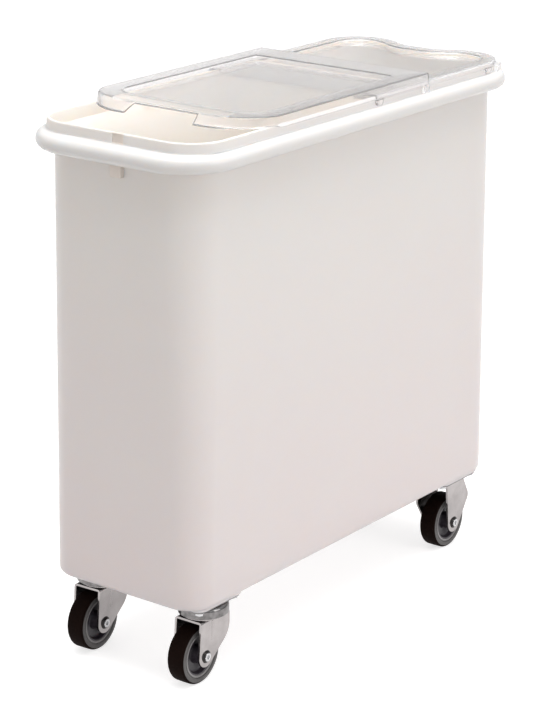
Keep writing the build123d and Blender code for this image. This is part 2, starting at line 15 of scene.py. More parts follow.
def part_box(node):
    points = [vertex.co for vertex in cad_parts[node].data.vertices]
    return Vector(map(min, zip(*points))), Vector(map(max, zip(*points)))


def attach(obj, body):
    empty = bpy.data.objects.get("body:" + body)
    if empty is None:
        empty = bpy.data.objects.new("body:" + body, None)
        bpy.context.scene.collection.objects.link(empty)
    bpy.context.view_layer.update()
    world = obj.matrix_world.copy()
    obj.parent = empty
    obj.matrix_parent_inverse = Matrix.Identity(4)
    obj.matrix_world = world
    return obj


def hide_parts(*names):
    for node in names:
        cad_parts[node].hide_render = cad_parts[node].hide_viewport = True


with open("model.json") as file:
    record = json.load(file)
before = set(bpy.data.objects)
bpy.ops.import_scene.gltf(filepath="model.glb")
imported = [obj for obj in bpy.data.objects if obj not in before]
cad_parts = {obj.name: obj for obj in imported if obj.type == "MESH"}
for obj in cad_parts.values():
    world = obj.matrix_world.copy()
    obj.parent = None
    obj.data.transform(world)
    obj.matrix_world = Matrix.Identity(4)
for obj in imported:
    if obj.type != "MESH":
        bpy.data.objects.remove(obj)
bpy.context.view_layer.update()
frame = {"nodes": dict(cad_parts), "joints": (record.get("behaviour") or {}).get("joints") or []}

# The camera stands to the front right of the bin and a little above it, as for the photograph.
# Its place is given by the angles round the point it looks at, with a slight roll.
mm = 0.001
camera_turn = math.radians(37.0)
camera_rise = math.radians(18.26)
camera_roll = math.radians(0.32)
camera_distance = 3381.95 * mm
camera_target = Vector((-11.65 * mm, -8.77 * mm, 343.89 * mm))
camera_sensor_height = 24.0
camera_focal_share = 2454.07 / 720
camera_reach = 60
outward = Vector(
    (
        math.sin(camera_turn) * math.cos(camera_rise),
        -math.cos(camera_turn) * math.cos(camera_rise),
        math.sin(camera_rise),
    )
)
level_right = (-outward).cross(Vector((0, 0, 1))).normalized()
level_up = level_right.cross(-outward)
camera_right = level_right * math.cos(camera_roll) + level_up * math.sin(camera_roll)
camera_up = level_up * math.cos(camera_roll) - level_right * math.sin(camera_roll)
camera = bpy.data.objects.new("camera", bpy.data.cameras.new("camera"))
camera.data.sensor_fit = "VERTICAL"
camera.data.sensor_height = camera_sensor_height
camera.data.lens = camera_focal_share * camera_sensor_height
camera.data.clip_end = camera_reach
camera.matrix_world = Matrix.Translation(camera_target + camera_distance * outward) @ Matrix(
    (camera_right, camera_up, outward)
).transposed().to_4x4()
bpy.context.scene.collection.objects.link(camera)
bpy.context.scene.camera = camera
bpy.context.scene.view_settings.view_transform = "Standard"

# The studio: an even pale room that is dimmer towards the horizon, so that metal has something
# dark to show, three soft square lamps, and a floor that keeps the shadow of the bin. The camera
# sees the room and the floor as white.
room_low = (0.40, 0.395, 0.40, 1)
room_high = (0.86, 0.87, 0.87, 1)
room_high_from = 0.55
room_light = 0.80
room_mirrored = 1.15
floor_colour = (0.62, 0.605, 0.60, 1)
floor_glow = 0.70
floor_reach = 20.0
world = bpy.data.worlds.new("studio")
bpy.context.scene.world = world
world.use_nodes = True
nodes, links = world.node_tree.nodes, world.node_tree.links
nodes.clear()
direction = nodes.new("ShaderNodeTexCoord")
height = nodes.new("ShaderNodeSeparateXYZ")
links.new(direction.outputs["Generated"], height.inputs[0])
room_shade = nodes.new("ShaderNodeValToRGB")
room_shade.color_ramp.elements[0].position = 0.0
room_shade.color_ramp.elements[0].color = room_low
room_shade.color_ramp.elements[1].position = room_high_from
room_shade.color_ramp.elements[1].color = room_high
links.new(height.outputs["Z"], room_shade.inputs[0])
room = nodes.new("ShaderNodeBackground")
links.new(room_shade.outputs[0], room.inputs["Color"])
white = nodes.new("ShaderNodeBackground")
white.inputs["Color"].default_value = (1, 1, 1, 1)
rays = nodes.new("ShaderNodeLightPath")
room_strength = nodes.new("ShaderNodeMapRange")
room_strength.inputs["To Min"].default_value = room_light
room_strength.inputs["To Max"].default_value = room_mirrored
links.new(rays.outputs["Is Glossy Ray"], room_strength.inputs["Value"])
links.new(room_strength.outputs["Result"], room.inputs["Strength"])
looked_at = nodes.new("ShaderNodeMath")
looked_at.operation = "MAXIMUM"
links.new(rays.outputs["Is Camera Ray"], looked_at.inputs[0])
links.new(rays.outputs["Is Transmission Ray"], looked_at.inputs[1])
seen = nodes.new("ShaderNodeMixShader")
links.new(looked_at.outputs[0], seen.inputs[0])
links.new(room.outputs[0], seen.inputs[1])
links.new(white.outputs[0], seen.inputs[2])
links.new(seen.outputs[0], nodes.new("ShaderNodeOutputWorld").inputs["Surface"])


def soft_light(name, place, aim, size, power, colour):
    """A square lamp of the given size at a place, turned to face another point."""
    lamp = bpy.data.objects.new(name, bpy.data.lights.new(name, "AREA"))
    lamp.data.size = size
    lamp.data.energy = power
    lamp.data.color = colour
    lamp.location = place
    lamp.rotation_euler = (Vector(aim) - Vector(place)).to_track_quat("-Z", "Y").to_euler()
    bpy.context.scene.collection.objects.link(lamp)


for name, place, aim, size, power, colour in (
    ("side_lamp", (3.2, 0.5, 1.5), (0, 0, 0.4), 1.8, 26, (1.0, 0.985, 0.98)),
    ("top_lamp", (0.4, -0.3, 3.2), (0, 0, 0.6), 2.0, 80, (1.0, 1.0, 1.0)),
    ("front_lamp", (0.6, -3.4, 0.9), (0, 0, 0.3), 1.2, 7, (1.0, 0.98, 0.965)),
):
    soft_light(name, place, aim, size, power, colour)

floor_mesh = bpy.data.meshes.new("floor")
floor_mesh.from_pydata(
    [(x * floor_reach, y * floor_reach, 0) for x, y in ((-1, -1), (1, -1), (1, 1), (-1, 1))],
    [],
    [(0, 1, 2, 3)],
)
floor = bpy.data.objects.new("floor", floor_mesh)
bpy.context.scene.collection.objects.link(floor)
floor_paint = bpy.data.materials.new("floor_white")
floor_paint.use_nodes = True
nodes, links = floor_paint.node_tree.nodes, floor_paint.node_tree.links
nodes.clear()
matt = nodes.new("ShaderNodeBsdfDiffuse")
matt.inputs["Color"].default_value = floor_colour
rays = nodes.new("ShaderNodeLightPath")
looked_at = nodes.new("ShaderNodeMath")
looked_at.operation = "MAXIMUM"
links.new(rays.outputs["Is Camera Ray"], looked_at.inputs[0])
mirrored = nodes.new("ShaderNodeMath")
mirrored.operation = "MAXIMUM"
links.new(rays.outputs["Is Glossy Ray"], mirrored.inputs[0])
links.new(rays.outputs["Is Transmission Ray"], mirrored.inputs[1])
links.new(mirrored.outputs[0], looked_at.inputs[1])
strength = nodes.new("ShaderNodeMath")
strength.operation = "MULTIPLY"
strength.inputs[1].default_value = floor_glow
links.new(looked_at.outputs[0], strength.inputs[0])
lift = nodes.new("ShaderNodeEmission")
links.new(strength.outputs[0], lift.inputs["Strength"])
both = nodes.new("ShaderNodeAddShader")
links.new(matt.outputs[0], both.inputs[0])
links.new(lift.outputs[0], both.inputs[1])
links.new(both.outputs[0], nodes.new("ShaderNodeOutputMaterial").inputs["Surface"])
floor_mesh.materials.append(floor_paint)


# Tub: one rotation-moulded shell of white polyethylene with a rolled bead round the top, a raised
# lip for the lids and a scalloped rear end. The walls are a touch matt and not quite even, and
# the inside is painted a brighter, warmer cream: painted glow for the light that comes through them.
def shaded(name, colour, other_colour, patch, roughness, roughness_change, grain, bump, **extra):
    """A finish whose colour drifts between two close tones in soft patches, with a fine grain that
    also lifts the surface a little and changes how rough it is. patch and grain are sizes."""
    material = bpy.data.materials.new(name)
    material.use_nodes = True
    nodes, links = material.node_tree.nodes, material.node_tree.links
    shader = nodes["Principled BSDF"]
    place = nodes.new("ShaderNodeTexCoord")
    drift = nodes.new("ShaderNodeTexNoise")
    drift.inputs["Scale"].default_value = 1 / patch
    drift.inputs["Detail"].default_value = 2
    links.new(place.outputs["Object"], drift.inputs["Vector"])
    tone = nodes.new("ShaderNodeMix")
    tone.data_type = "RGBA"
    tone.inputs["A"].default_value = (*colour, 1)
    tone.inputs["B"].default_value = (*other_colour, 1)
    links.new(drift.outputs["Fac"], tone.inputs["Factor"])
    links.new(tone.outputs["Result"], shader.inputs["Base Color"])
    fine = nodes.new("ShaderNodeTexNoise")
    fine.inputs["Scale"].default_value = 1 / grain
    fine.inputs["Detail"].default_value = 4
    links.new(place.outputs["Object"], fine.inputs["Vector"])
    spread = nodes.new("ShaderNodeMapRange")
    spread.inputs["To Min"].default_value = roughness - roughness_change
    spread.inputs["To Max"].default_value = roughness + roughness_change
    links.new(fine.outputs["Fac"], spread.inputs["Value"])
    links.new(spread.outputs["Result"], shader.inputs["Roughness"])
    relief = nodes.new("ShaderNodeBump")
    relief.inputs["Strength"].default_value = 0.5
    relief.inputs["Distance"].default_value = bump
    links.new(fine.outputs["Fac"], relief.inputs["Height"])
    links.new(relief.outputs["Normal"], shader.inputs["Normal"])
    for socket, value in extra.items():
        shader.inputs[socket.replace("_", " ")].default_value = value
    return material


def grid_piece(name, points, material, around=True, loop=False, sharp=35):
    """A mesh from a grid of points: rows follow the profile and columns go round the piece. Each
    face joins a point to the next column and the next row. around joins the last column to the
    first, and loop the last row to the first. Without loop the first and last row are closed with
    one flat face each, and so are the first and last column where they aren't joined. All faces
    are turned over when the sum of their signed volumes is negative."""
    rows, columns = points.shape[:2]
    index = np.arange(rows * columns).reshape(rows, columns)
    nearer = index if around else index[:, :-1]
    farther = np.roll(index, -1, axis=1) if around else index[:, 1:]
    above_nearer, above_farther = (np.roll(side, -1, axis=0) for side in (nearer, farther))
    quads = np.stack([nearer, farther, above_farther, above_nearer], axis=-1)
    quads = quads[: rows if loop else rows - 1].reshape(-1, 4)
    faces = quads.tolist()
    if not loop:
        faces += [index[0, ::-1].tolist(), index[-1].tolist()]
        if not around:
            faces.append(index[:, 0].tolist() + index[::-1, -1].tolist())
    flat = points.reshape(-1, 3)
    middle = flat.mean(axis=0)
    a, b, c, d = (flat[quads[:, k]] - middle for k in range(4))
    volume = np.einsum("ij,ij->", a, np.cross(b, c)) + np.einsum("ij,ij->", a, np.cross(c, d))
    if volume < 0:
        faces = [face[::-1] for face in faces]
    mesh = bpy.data.meshes.new(name)
    mesh.from_pydata(flat.tolist(), [], faces)
    mesh.validate()
    mesh.polygons.foreach_set("use_smooth", np.ones(len(mesh.polygons), bool))
    mesh.set_sharp_from_angle(angle=math.radians(sharp))
    mesh.materials.append(material)
    piece = bpy.data.objects.new(name, mesh)
    bpy.context.scene.collection.objects.link(piece)
    return piece


def arc(centre_a, centre_b, radius, start, stop, steps):
    """Points of an arc in a profile: the centre plus the radius times cosine and sine."""
    angle = np.radians(np.linspace(start, stop, steps))
    return np.stack([centre_a + radius * np.cos(angle), centre_b + radius * np.sin(angle)], axis=-1)


tub_low, tub_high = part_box("tub")
pad_height = 3.0 * mm
tub_bottom = tub_low.z + pad_height
lip_top = tub_high.z
bead_top = lip_top - 14.0 * mm
bead_bottom = bead_top - 23.0 * mm
rim_half_width = 126.0 * mm
rim_half_length = 350.0 * mm
tub_growth = 0.5 * mm
tub_low_corner = 41.0 * mm
tub_high_corner = 57.0 * mm
tub_wall = 4.0 * mm
tub_bottom_round = 9.0 * mm
tub_floor = 5.0 * mm
tub_inside_bottom = tub_bottom + tub_floor
tub_inside_round = 12.0 * mm
bead_reach = tub_high.x - rim_half_width
bead_top_round = 12.0 * mm
bead_bottom_round = 9.5 * mm
lip_half_width = rim_half_width + 10.9 * mm
lip_half_length = rim_half_length + 1.1 * mm
lip_corner = 54.0 * mm
lip_rear_setback = 7.0 * mm
lip_lean = 0.8 * mm
lip_wall = 3.8 * mm
lip_round = 1.4 * mm
scallop_depth = 23.2 * mm
scallop_flat = 9.0 * mm
scallop_land = 2.0 * mm
mark_middle = 9.5 * mm
mark_half_width = 9.0 * mm
mark_depth = 1.6 * mm
mark_margin = 1.5 * mm
mark_slope = 0.1 * mm
corner_steps = 24
side_steps = 40
land_steps = 3
bend_steps = 12
flat_steps = 4
front_shares = np.concatenate(
    [
        [0.0, 0.004, 0.008, 0.012],
        np.linspace(0.016, 0.2, 10),
        [0.204, 0.208, 0.212, 0.216, 0.222, 0.23],
        np.linspace(0.25, 1.0, 14),
    ]
)


def mirrored_round(half):
    """A right half from the middle of the front to the middle of the rear, joined to its mirror."""
    other = half[1:-1][::-1] * np.array([-1.0, 1.0])
    return np.concatenate([half, other])


def box_ring(half_width, half_length, corner):
    """Round the tub: straight front, corner arc, straight side, corner arc, straight rear."""
    centre_x, centre_y = half_width - corner, half_length - corner
    front = np.stack([centre_x * front_shares, np.full(len(front_shares), -half_length)], axis=-1)
    front_corner = arc(centre_x, -centre_y, corner, -90, 0, corner_steps)[1:]
    side_y = np.linspace(-centre_y, centre_y, side_steps)[1:]
    side = np.stack([np.full(len(side_y), half_width), side_y], axis=-1)
    rear_corner = arc(centre_x, centre_y, corner, 0, 90, corner_steps)[1:]
    rear_x = np.linspace(centre_x, 0, land_steps + 2 * bend_steps + flat_steps - 3)[1:]
    rear = np.stack([rear_x, np.full(len(rear_x), half_length)], axis=-1)
    return mirrored_round(np.concatenate([front, front_corner, side, rear_corner, rear]))


def rim_rear(growth, side_start):
    """The right half of the lip's outline from a point on its straight side to the middle of the
    rear: corner arc, short land, an arc that swings forward, one that swings back, and a flat."""
    centre_x = lip_half_width - lip_corner
    rear_edge = lip_half_length - lip_rear_setback
    rear_y = rear_edge - lip_corner
    bend_start = centre_x - scallop_land
    bend_run = bend_start - scallop_flat
    bend = (bend_run**2 + scallop_depth**2) / (4 * scallop_depth)
    swing = math.degrees(2 * math.atan(scallop_depth / bend_run))
    side_y = np.linspace(side_start, rear_y, side_steps)
    side = np.stack([np.full(len(side_y), lip_half_width + growth), side_y], axis=-1)
    rear_corner = arc(centre_x, rear_y, lip_corner + growth, 0, 90, corner_steps)[1:]
    land_x = np.linspace(centre_x, bend_start, land_steps)[1:]
    land = np.stack([land_x, np.full(len(land_x), rear_edge + growth)], axis=-1)
    out_bend = arc(bend_start, rear_edge - bend, bend + growth, 90, 90 + swing, bend_steps)[1:]
    in_bend = arc(
        scallop_flat, rear_edge - scallop_depth + bend, bend - growth, 270 + swing, 270, bend_steps
    )[1:]
    flat_x = np.linspace(scallop_flat, 0, flat_steps)[1:]
    flat = np.stack([flat_x, np.full(len(flat_x), rear_edge + growth - scallop_depth)], axis=-1)
    return np.concatenate([side, rear_corner, land, out_bend, in_bend, flat])


def rim_ring(growth):
    """Round the lip: straight front, corner arc, and then its rear outline."""
    centre_x = lip_half_width - lip_corner
    front_y = lip_corner - lip_half_length
    front = np.stack(
        [centre_x * front_shares, np.full(len(front_shares), -lip_half_length - growth)], axis=-1
    )
    front_corner = arc(centre_x, front_y, lip_corner + growth, -90, 0, corner_steps)[1:-1]
    return mirrored_round(np.concatenate([front, front_corner, rim_rear(growth, front_y)]))


def at_level(ring, level):
    """A ring of points with its height added."""
    return np.concatenate([ring, np.full((len(ring), 1), level)], axis=1)


def wall_ring(level, growth):
    """The tub's wall at one level, moved out by growth: the corners open out on the way up."""
    rise = (level - tub_bottom) / (bead_bottom - tub_bottom)
    corner = tub_low_corner + (tub_high_corner - tub_low_corner) * rise + growth
    spread = tub_growth * (rise - 1) + growth
    return at_level(box_ring(rim_half_width + spread, rim_half_length + spread, corner), level)


def bead_ring(level, growth):
    """The bead at one level, moved out from the wall by growth."""
    corner = tub_high_corner + growth
    return at_level(box_ring(rim_half_width + growth, rim_half_length + growth, corner), level)


def lip_ring(level, growth):
    """The lip at one level."""
    return at_level(rim_ring(growth), level)


tub_rings = []
bottom_centre = (-tub_bottom_round, tub_bottom + tub_bottom_round)
for out, level in arc(*bottom_centre, tub_bottom_round, -90, 0, 9):
    tub_rings.append(wall_ring(level, out))
for level in np.linspace(bottom_centre[1], bead_bottom, 15)[1:]:
    tub_rings.append(wall_ring(level, 0))
low_centre = (bead_reach - bead_bottom_round, bead_bottom + bead_bottom_round)
tub_rings.append(bead_ring(bead_bottom, low_centre[0] / 2))
for out, level in arc(*low_centre, bead_bottom_round, -90, 0, 9):
    tub_rings.append(bead_ring(level, out))
high_centre = (bead_reach - bead_top_round, bead_top - bead_top_round)
for out, level in arc(*high_centre, bead_top_round, 0, 90, 11):
    tub_rings.append(bead_ring(level, out))
for out, level in arc(lip_round, bead_top + lip_round, lip_round, -90, -180, 4):
    tub_rings.append(lip_ring(level, out))
mark_low = bead_top + mark_margin
mark_high = lip_top - mark_margin
for level in (mark_low, mark_low + mark_slope, mark_high - mark_slope, mark_high):
    tub_rings.append(lip_ring(level, -lip_lean * (level - bead_top) / (lip_top - bead_top)))
for out, level in arc(-lip_lean - lip_round, lip_top - lip_round, lip_round, 0, 90, 5):
    tub_rings.append(lip_ring(level, out))
inside_start = len(tub_rings)
lip_inside = -lip_lean - lip_wall
for out, level in arc(lip_inside + lip_round, lip_top - lip_round, lip_round, 90, 180, 5):
    tub_rings.append(lip_ring(level, out))
ledge_under = bead_top - tub_wall
tub_rings.append(lip_ring(ledge_under, lip_inside))
flare = box_ring(lip_half_width + lip_inside, lip_half_length + lip_inside, lip_corner + lip_inside)
tub_rings.append(at_level(flare, ledge_under))
floor_curve = tub_inside_bottom + tub_inside_round
for level in np.linspace(bead_bottom, floor_curve, 8):
    tub_rings.append(wall_ring(level, -tub_wall))
inside_centre = (-tub_inside_round - tub_wall, floor_curve)
for out, level in arc(*inside_centre, tub_inside_round, 0, -90, 6)[1:]:
    tub_rings.append(wall_ring(level, out))
tub_points = np.stack(tub_rings)

# The points of the front of the lip that lie on the mark, a shallow recess, move in by its depth.
on_mark = np.abs(tub_points[..., 0] - mark_middle) < mark_half_width
on_mark &= tub_points[..., 1] < -lip_half_length + lip_wall / 2
on_mark &= tub_points[..., 2] > mark_low + mark_slope / 2
on_mark &= tub_points[..., 2] < mark_high - mark_slope / 2
tub_points[..., 1] += np.where(on_mark, mark_depth, 0)

# Its first colour, darker and pinker, is painted shade and painted warm reflection for the foot.
white_plastic = shaded(
    "white_plastic",
    (0.672, 0.617, 0.622),
    (0.695, 0.683, 0.672),
    patch=180 * mm,
    roughness=0.36,
    roughness_change=0.05,
    grain=1.6 * mm,
    bump=0.04 * mm,
    Subsurface_Weight=1.0,
    Subsurface_Radius=(1.0, 0.85, 0.72),
    Subsurface_Scale=7 * mm,
    Specular_IOR_Level=0.5,
    Coat_Weight=0.3,
    Coat_Roughness=0.12,
)

# The white plastic is painted darker and pinker at the foot and more neutral at the rim, as painted
# shade and a painted warm reflection there: the share of the second colour is the height from the
# foot, as a part of the whole, plus a little of the drift.
drift_share = 0.3
nodes, links = white_plastic.node_tree.nodes, white_plastic.node_tree.links
place = nodes.new("ShaderNodeTexCoord")
height = nodes.new("ShaderNodeSeparateXYZ")
links.new(place.outputs["Object"], height.inputs[0])
painted_shade_climb = nodes.new("ShaderNodeMapRange")
painted_shade_climb.inputs["From Min"].default_value = tub_bottom
painted_shade_climb.inputs["From Max"].default_value = lip_top
links.new(height.outputs["Z"], painted_shade_climb.inputs["Value"])
blend = nodes.new("ShaderNodeMath")
blend.operation = "MULTIPLY_ADD"
blend.inputs[1].default_value = drift_share
mix = nodes["Mix"]
links.new(mix.inputs["Factor"].links[0].from_socket, blend.inputs[0])
links.new(painted_shade_climb.outputs["Result"], blend.inputs[2])
links.new(blend.outputs[0], mix.inputs["Factor"])
# The inside is painted a brighter, warmer cream than the outside: a painted glow for the light that
# comes through the walls.
inside_painted_glow = shaded(
    "inside_painted_glow_plastic",
    (0.915, 0.865, 0.81),
    (0.895, 0.845, 0.79),
    patch=200 * mm,
    roughness=0.5,
    roughness_change=0.05,
    grain=1.6 * mm,
    bump=0.04 * mm,
    Subsurface_Weight=1.0,
    Subsurface_Radius=(1.0, 0.85, 0.72),
    Subsurface_Scale=7 * mm,
)
# The mark and the front block are painted a warm cream: a painted glow for light coming through
# thinner plastic.
warm_painted_glow = shaded(
    "warm_painted_glow",
    (0.74, 0.67, 0.61),
    (0.70, 0.63, 0.57),
    patch=12 * mm,
    roughness=0.4,
    roughness_change=0.05,
    grain=1.6 * mm,
    bump=0.04 * mm,
)

# The inside has the second material and the mark the third; both are painted glow, warmer than the
# outside.
tub = grid_piece("tub_shell", tub_points, white_plastic)
tub.data.materials.append(inside_painted_glow)
tub.data.materials.append(warm_painted_glow)
tub_columns = tub_points.shape[1]
tub_slots = np.zeros(len(tub.data.polygons), np.int32)
tub_slots[inside_start * tub_columns : -2] = 1
tub_slots[-1] = 1
middle = (tub_points[1:] + tub_points[:-1]) / 2
in_mark = (np.abs(middle[..., 0] - mark_middle) < mark_half_width) & (middle[..., 1] < 0)
in_mark &= middle[..., 2] > bead_top + 0.5 * mm
in_mark[inside_start:] = False
tub_slots[: in_mark.size][in_mark.ravel()] = 2
tub.data.polygons.foreach_set("material_index", tub_slots)
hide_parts("tub")
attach(tub, "bin")


# Pads and block: moulded in one with the tub, of the same polyethylene. Low pads under the floor
# carry the caster plates, and a small block stands under the bead at the front.
def slab(name, centre, half_width, half_length, low, high, corner, edge, material):
    """A block with a rounded outline and a rounded edge: the outline is moved in by the edge at
    the bottom and top, and the corner arcs have the corner radius less that."""
    turn = np.radians(np.linspace(0, 90, 7))
    rings = []
    for level, inset in (
        (low, edge),
        (low + 0.3 * edge, 0.3 * edge),
        (low + edge, 0.0),
        (high - edge, 0.0),
        (high - 0.3 * edge, 0.3 * edge),
        (high, edge),
    ):
        arms = []
        for k, (sx, sy) in enumerate(((1, 1), (-1, 1), (-1, -1), (1, -1))):
            angle = turn + k * math.pi / 2
            x = centre[0] + sx * (half_width - corner) + (corner - inset) * np.cos(angle)
            y = centre[1] + sy * (half_length - corner) + (corner - inset) * np.sin(angle)
            arms.append(np.stack([x, y, np.full(len(angle), level)], axis=-1))
        rings.append(np.concatenate(arms))
    return grid_piece(name, np.stack(rings), material)


corners = ("front_right", "front_left", "rear_right", "rear_left")
pad_margin = 2.5 * mm
pad_sunk = 1.5 * mm
pad_corner = 12.5 * mm
for corner in corners:
    low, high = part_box(f"{corner}_caster_plate")
    middle, half = (low + high) / 2, (high - low) / 2
    pad = slab(
        f"{corner}_pad",
        (middle.x, middle.y),
        half.x + pad_margin,
        half.y + pad_margin,
        high.z,
        tub_bottom + pad_sunk,
        corner=pad_corner,
        edge=0.8 * mm,
        material=white_plastic,
    )
    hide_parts("tub")
    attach(pad, "bin")
block_out = 2.0 * mm
block_half_length = 5.0 * mm
block_drop = 18.0 * mm
block_sunk = 2.0 * mm
# The block is painted with the mark's warm glow, not the tub's white.
block = slab(
    "front_block",
    (mark_middle, -rim_half_length - block_out),
    mark_half_width,
    block_half_length,
    bead_bottom - block_drop,
    bead_bottom + block_sunk,
    corner=2.0 * mm,
    edge=1.2 * mm,
    material=warm_painted_glow,
)
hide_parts("tub")
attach(block, "bin")


# Rear lid: a sheet of clear polycarbonate, 2.5 mm thick and drawn to shape, that clips over the
# lip of the tub. A flat band runs round a sunk panel. Short tongues on its skirt hold it at the
# sides, and a hooked tab at each rear corner lifts it.
clear_sheet = shaded(
    "clear_sheet",
    (0.952, 0.944, 0.946),
    (0.940, 0.932, 0.935),
    patch=90 * mm,
    roughness=0.15,
    roughness_change=0.03,
    grain=3 * mm,
    bump=0.012 * mm,
    Transmission_Weight=0.955,
    IOR=1.5,
)
nodes, links = clear_sheet.node_tree.nodes, clear_sheet.node_tree.links
glassy = nodes["Principled BSDF"]
passing = nodes.new("ShaderNodeBsdfTransparent")
links.new(glassy.inputs["Base Color"].links[0].from_socket, passing.inputs["Color"])
rays = nodes.new("ShaderNodeLightPath")
not_looked_at = nodes.new("ShaderNodeMath")
not_looked_at.operation = "MAXIMUM"
links.new(rays.outputs["Is Shadow Ray"], not_looked_at.inputs[0])
links.new(rays.outputs["Is Diffuse Ray"], not_looked_at.inputs[1])
clear = nodes.new("ShaderNodeMixShader")
links.new(not_looked_at.outputs[0], clear.inputs[0])
links.new(glassy.outputs[0], clear.inputs[1])
links.new(passing.outputs[0], clear.inputs[2])
links.new(clear.outputs[0], nodes["Material Output"].inputs["Surface"])


def softened(line, reaches, steps=5):
    """A line of points with its inner corners eased. Each corner gives way to a curve that leaves
    the line one reach before it and joins the line one reach after it: the square of what is left
    of the way times the start, twice the product times the corner, and the square of the way
    times the end."""
    line = np.asarray(line, float)
    way = np.linspace(0, 1, steps)[:, None]
    pieces = [line[:1]]
    for before, corner, after, reach in zip(line[:-2], line[1:-1], line[2:], reaches):
        start = corner + reach * (before - corner) / np.linalg.norm(before - corner)
        end = corner + reach * (after - corner) / np.linalg.norm(after - corner)
        pieces.append((1 - way) ** 2 * start + 2 * way * (1 - way) * corner + way**2 * end)
    return np.concatenate(pieces + [line[-1:]])


def extruded(name, outline, origin, across, up, along, start, stop, edge, material):
    """A closed outline carried along a straight path, with its edges rounded: a point is the
    origin plus its first value times across, its second times up and its place on the path times
    along. The outline is moved in by the edge at both ends, each corner along the sum of the
    normals of its two sides divided by one plus their product."""
    outline = np.asarray(outline, float)
    side = np.roll(outline, -1, axis=0) - outline
    side /= np.linalg.norm(side, axis=1, keepdims=True)
    area = np.cross(outline, np.roll(outline, -1, axis=0)).sum()
    normal = np.stack([side[:, 1], -side[:, 0]], axis=-1) * np.sign(area)
    other = np.roll(normal, 1, axis=0)
    shift = (normal + other) / (1 + (normal * other).sum(axis=1, keepdims=True))
    rows = []
    for path, inset in (
        (start, edge),
        (start + 0.3 * edge, 0.3 * edge),
        (start + edge, 0.0),
        (stop - edge, 0.0),
        (stop - 0.3 * edge, 0.3 * edge),
        (stop, edge),
    ):
        flat = outline - inset * shift
        rows.append(
            np.asarray(origin)
            + flat[:, :1] * np.asarray(across)
            + flat[:, 1:] * np.asarray(up)
            + path * np.asarray(along)
        )
    return grid_piece(name, np.stack(rows), material)


sheet = 2.5 * mm
rear_lid_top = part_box("rear_lid")[1].z
rear_lid_low = rear_lid_top - 8.0 * mm
rear_lid_cut = 15.0 * mm
rear_lid_growth = 3.0 * mm
rear_lid_band = 20.5 * mm
rear_pan_depth = 6.0 * mm
pan_slope = math.tan(math.radians(18.0))
pan_margin = 4.0 * mm
pan_edge = rear_lid_growth - rear_lid_band
pan_foot = pan_edge - pan_slope * rear_pan_depth
pan_under_edge = pan_edge + sheet - pan_slope * sheet
pan_under_foot = pan_edge + sheet - pan_slope * (rear_pan_depth + sheet)
rear_profile = softened(
    [
        (pan_foot - pan_margin, rear_lid_top - rear_pan_depth),
        (pan_foot, rear_lid_top - rear_pan_depth),
        (pan_edge, rear_lid_top),
        (rear_lid_growth, rear_lid_top),
        (rear_lid_growth, rear_lid_low),
        (rear_lid_growth - sheet, rear_lid_low),
        (rear_lid_growth - sheet, rear_lid_top - sheet),
        (pan_under_edge, rear_lid_top - sheet),
        (pan_under_foot, rear_lid_top - rear_pan_depth - sheet),
        (pan_under_foot - pan_margin, rear_lid_top - rear_pan_depth - sheet),
    ],
    [1.2 * mm, 1.6 * mm, 4.0 * mm, 0.5 * mm, 0.5 * mm, 1.8 * mm, 1.0 * mm, 1.6 * mm],
)
rear_rows = []
for out, level in rear_profile:
    right = rim_rear(out, rear_lid_cut)
    whole = np.concatenate([right, right[:-1][::-1] * np.array([-1.0, 1.0])])
    rear_rows.append(at_level(whole, level))
rear_lid = grid_piece("rear_lid_sheet", np.stack(rear_rows), clear_sheet, around=False)

lid_edge = 0.5 * mm
lid_side = lip_half_width + rear_lid_growth
tongue_half_root = 9.0 * mm
tongue_half_tip = 6.5 * mm
tongue_drop = 7.6 * mm
tongue_lap = 1.2 * mm
tongue_places = {"front": 24.0 * mm, "rear": 287.0 * mm}
tongue_shape = [
    (-tongue_half_root, tongue_lap),
    (-tongue_half_root, 0.0),
    (-tongue_half_tip, -tongue_drop),
    (tongue_half_tip, -tongue_drop),
    (tongue_half_root, 0.0),
    (tongue_half_root, tongue_lap),
]
tongue_shape = softened(tongue_shape, [1.0 * mm, 4.0 * mm, 4.0 * mm, 1.0 * mm])
tab_reach = 8.0 * mm
tab_top = -2.7 * mm
tab_tip = -13.7 * mm
tab_half_width = 7.0 * mm
tab_shape = [
    (-sheet / 2, tab_top),
    (tab_reach, tab_top),
    (tab_reach, tab_tip),
    (tab_reach - sheet, tab_tip),
    (tab_reach - sheet, tab_top - sheet),
    (-sheet / 2, tab_top - sheet),
]
tab_shape = softened(tab_shape, [2.4 * mm, 0.8 * mm, 0.8 * mm, 0.8 * mm])
tab_turn = math.radians(17.0)
tab_centre_x = lip_half_width - lip_corner
tab_centre_y = lip_half_length - lip_rear_setback - lip_corner
tab_root = lip_corner + rear_lid_growth
rear_lid_pieces = [rear_lid]
for side, hand in ((1, "right"), (-1, "left")):
    for end, tongue_y in tongue_places.items():
        rear_lid_pieces.append(
            extruded(
                f"{end}_{hand}_tongue",
                tongue_shape,
                (side * lid_side, tongue_y, rear_lid_low),
                (0, 1, 0),
                (0, 0, 1),
                (-side, 0, 0),
                start=0.0,
                stop=sheet,
                edge=lid_edge,
                material=clear_sheet,
            )
        )
    outward_x, outward_y = side * math.cos(tab_turn), math.sin(tab_turn)
    rear_lid_pieces.append(
        extruded(
            f"{hand}_lifting_tab",
            tab_shape,
            (
                side * tab_centre_x + tab_root * outward_x,
                tab_centre_y + tab_root * outward_y,
                rear_lid_top,
            ),
            (outward_x, outward_y, 0),
            (0, 0, 1),
            (-outward_y, outward_x, 0),
            start=-tab_half_width,
            stop=tab_half_width,
            edge=lid_edge,
            material=clear_sheet,
        )
    )
for piece in rear_lid_pieces:
    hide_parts("rear_lid")
    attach(piece, "rear_lid")


